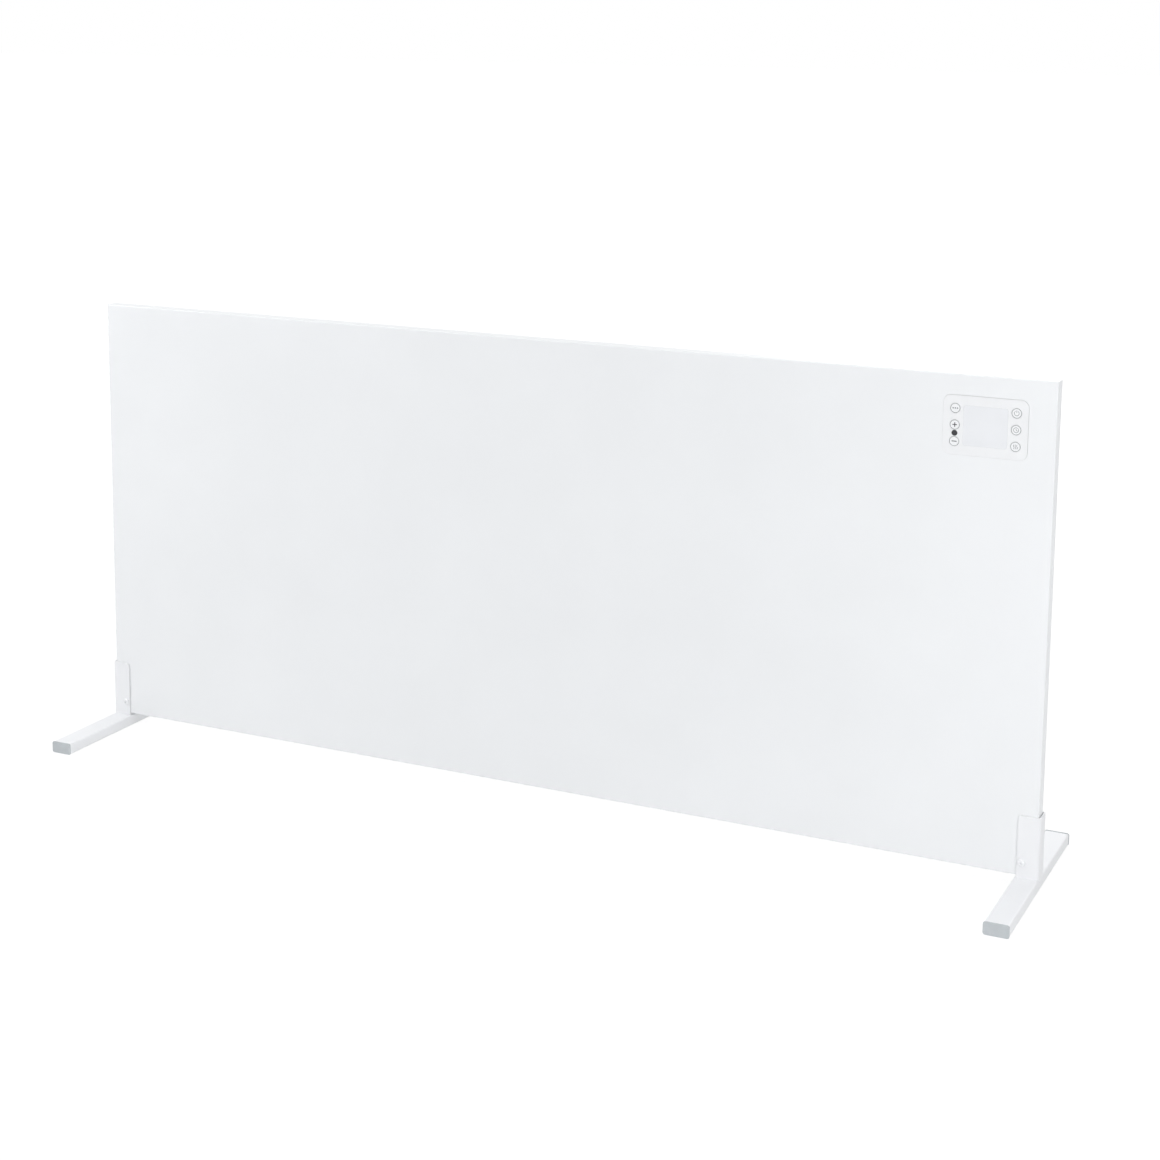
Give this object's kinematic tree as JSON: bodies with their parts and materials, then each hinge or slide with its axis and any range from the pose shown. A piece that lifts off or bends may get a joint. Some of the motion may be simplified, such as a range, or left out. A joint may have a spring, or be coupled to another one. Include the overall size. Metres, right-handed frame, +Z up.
{
  "type": "infrared heating panel",
  "caption": "Thin upright radiant heating panel on tube feet, with a flush key panel, a display and a rear mains switch.",
  "frame": {"origin": "on the floor, under the middle of the panel and of the feet", "axes": "+X to the right of someone who faces the panel, along its width; +Y to its back, along the feet; +Z up"},
  "size_m": [1.357, 0.3056, 0.6177],
  "materials": {
    "case_paint": "white powder coat, satin, on sheet steel",
    "foot_paint": "white powder coat, satin, on steel tube and plate",
    "screw_steel": "nickel-plated, bright",
    "zinc_steel": "zinc-plated, dull",
    "heater_film": "dark resistive film between clear sheets",
    "mineral_fibre": "loose pale fibre",
    "wire_insulation": "red silicone sleeve",
    "inner_plastic": "moulded, matt off-white",
    "board_laminate": "green solder resist",
    "relay_case": "moulded blue case",
    "black_plastic": "moulded, fine matt grain",
    "ribbon_plastic": "flat grey cable",
    "fascia_plastic": "smooth white, soft gloss",
    "key_plastic": "smooth white caps with a thin grey printed ring",
    "display_pane": "translucent white pane, unlit",
    "dark_lens": "near-black infrared lens, polished",
    "cap_plastic": "moulded light grey, matt"
  },
  "bodies": {
    "case": {"front_tray": "case_paint", "rear_cover": "case_paint", "cover_screw_top_1": "screw_steel", "cover_screw_top_2": "screw_steel", "cover_screw_top_3": "screw_steel", "cover_screw_top_4": "screw_steel", "cover_screw_bottom_1": "screw_steel", "cover_screw_bottom_2": "screw_steel", "cover_screw_bottom_3": "screw_steel", "cover_screw_bottom_4": "screw_steel", "cover_screw_left": "screw_steel", "cover_screw_right": "screw_steel", "stiffener_left": "zinc_steel", "stiffener_right": "zinc_steel", "corner_spacer_left": "zinc_steel", "corner_spacer_right": "zinc_steel", "heating_mat": "heater_film", "insulation_blanket": "mineral_fibre", "thermal_cutout_upper": "zinc_steel", "thermal_cutout_lower": "zinc_steel", "heater_lead_upper": "wire_insulation", "heater_lead_lower": "wire_insulation", "electronics_tray": "inner_plastic", "power_board": "board_laminate", "power_relay": "relay_case", "terminal_block": "inner_plastic", "tilt_switch": "black_plastic", "room_sensor": "black_plastic", "control_ribbon": "ribbon_plastic", "rocker_frame": "black_plastic", "cable_gland": "black_plastic", "gland_nut": "black_plastic", "control_fascia": "fascia_plastic", "display_window": "display_pane", "ir_window": "dark_lens", "control_housing": "inner_plastic", "control_board": "board_laminate", "display_module": "black_plastic", "ir_receiver": "black_plastic", "foot_tube_left": "foot_paint", "foot_tube_right": "foot_paint", "foot_cap_left_front": "cap_plastic", "foot_cap_left_rear": "cap_plastic", "foot_cap_right_front": "cap_plastic", "foot_cap_right_rear": "cap_plastic", "bracket_left": "foot_paint", "bracket_right": "foot_paint", "bracket_bolt_left": "foot_paint", "bracket_bolt_right": "foot_paint", "bracket_nut_left": "zinc_steel", "bracket_nut_right": "zinc_steel"},
    "menu_key": {"key_menu": "key_plastic"},
    "plus_key": {"key_plus": "key_plastic"},
    "minus_key": {"key_minus": "key_plastic"},
    "power_key": {"key_power": "key_plastic"},
    "timer_key": {"key_timer": "key_plastic"},
    "heat_key": {"key_heat": "key_plastic"},
    "switch_rocker": {"rocker": "black_plastic"}
  },
  "joints": [
    {"name": "menu_key_press", "type": "slide", "parent": "case", "child": "menu_key", "axis": [0, 1, 0], "range_m": [0, 0.0005], "stiffness_N_per_m": 2000, "springref_m": -0.0003},
    {"name": "plus_key_press", "type": "slide", "parent": "case", "child": "plus_key", "axis": [0, 1, 0], "range_m": [0, 0.0005], "stiffness_N_per_m": 2000, "springref_m": -0.0003},
    {"name": "minus_key_press", "type": "slide", "parent": "case", "child": "minus_key", "axis": [0, 1, 0], "range_m": [0, 0.0005], "stiffness_N_per_m": 2000, "springref_m": -0.0003},
    {"name": "power_key_press", "type": "slide", "parent": "case", "child": "power_key", "axis": [0, 1, 0], "range_m": [0, 0.0005], "stiffness_N_per_m": 2000, "springref_m": -0.0003},
    {"name": "timer_key_press", "type": "slide", "parent": "case", "child": "timer_key", "axis": [0, 1, 0], "range_m": [0, 0.0005], "stiffness_N_per_m": 2000, "springref_m": -0.0003},
    {"name": "heat_key_press", "type": "slide", "parent": "case", "child": "heat_key", "axis": [0, 1, 0], "range_m": [0, 0.0005], "stiffness_N_per_m": 2000, "springref_m": -0.0003},
    {"name": "rocker_tip", "type": "hinge", "parent": "case", "child": "switch_rocker", "pos_m": [0.6397, 0.01035, 0.45745], "axis": [-1, 0, 0], "range_deg": [0, 22]}
  ]
}
